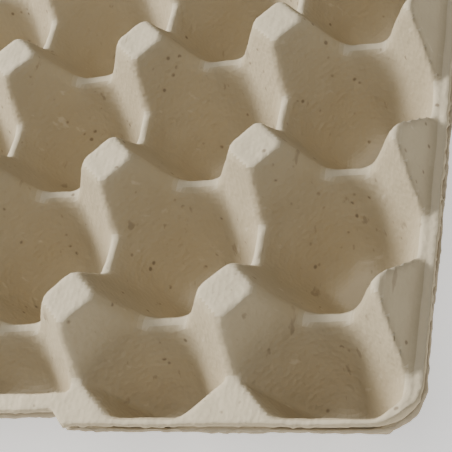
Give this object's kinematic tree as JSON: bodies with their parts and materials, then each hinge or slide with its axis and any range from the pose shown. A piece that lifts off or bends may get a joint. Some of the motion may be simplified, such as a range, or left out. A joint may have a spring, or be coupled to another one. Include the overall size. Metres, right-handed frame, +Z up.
{
  "type": "stack of pulp egg trays",
  "caption": "Nested stack of moulded-pulp egg trays: rows of deep egg cups between flat-topped four-way posts, with half posts along the side rims.",
  "frame": {"origin": "middle of the footprint, on the plane that the feet of the lowest tray's cups rest on", "axes": "+Z up out of the cups; +Y along the columns of five cups; +X across the rows of six"},
  "size_m": [0.295, 0.3054, 0.0512],
  "materials": {
    "pulp_lower": "rough moulded paper pulp, warm grey-brown",
    "pulp_upper": "rough moulded paper pulp, warm grey-brown"
  },
  "bodies": {
    "root": {"egg_tray_1": "pulp_lower", "egg_tray_2": "pulp_upper"}
  },
  "joints": []
}
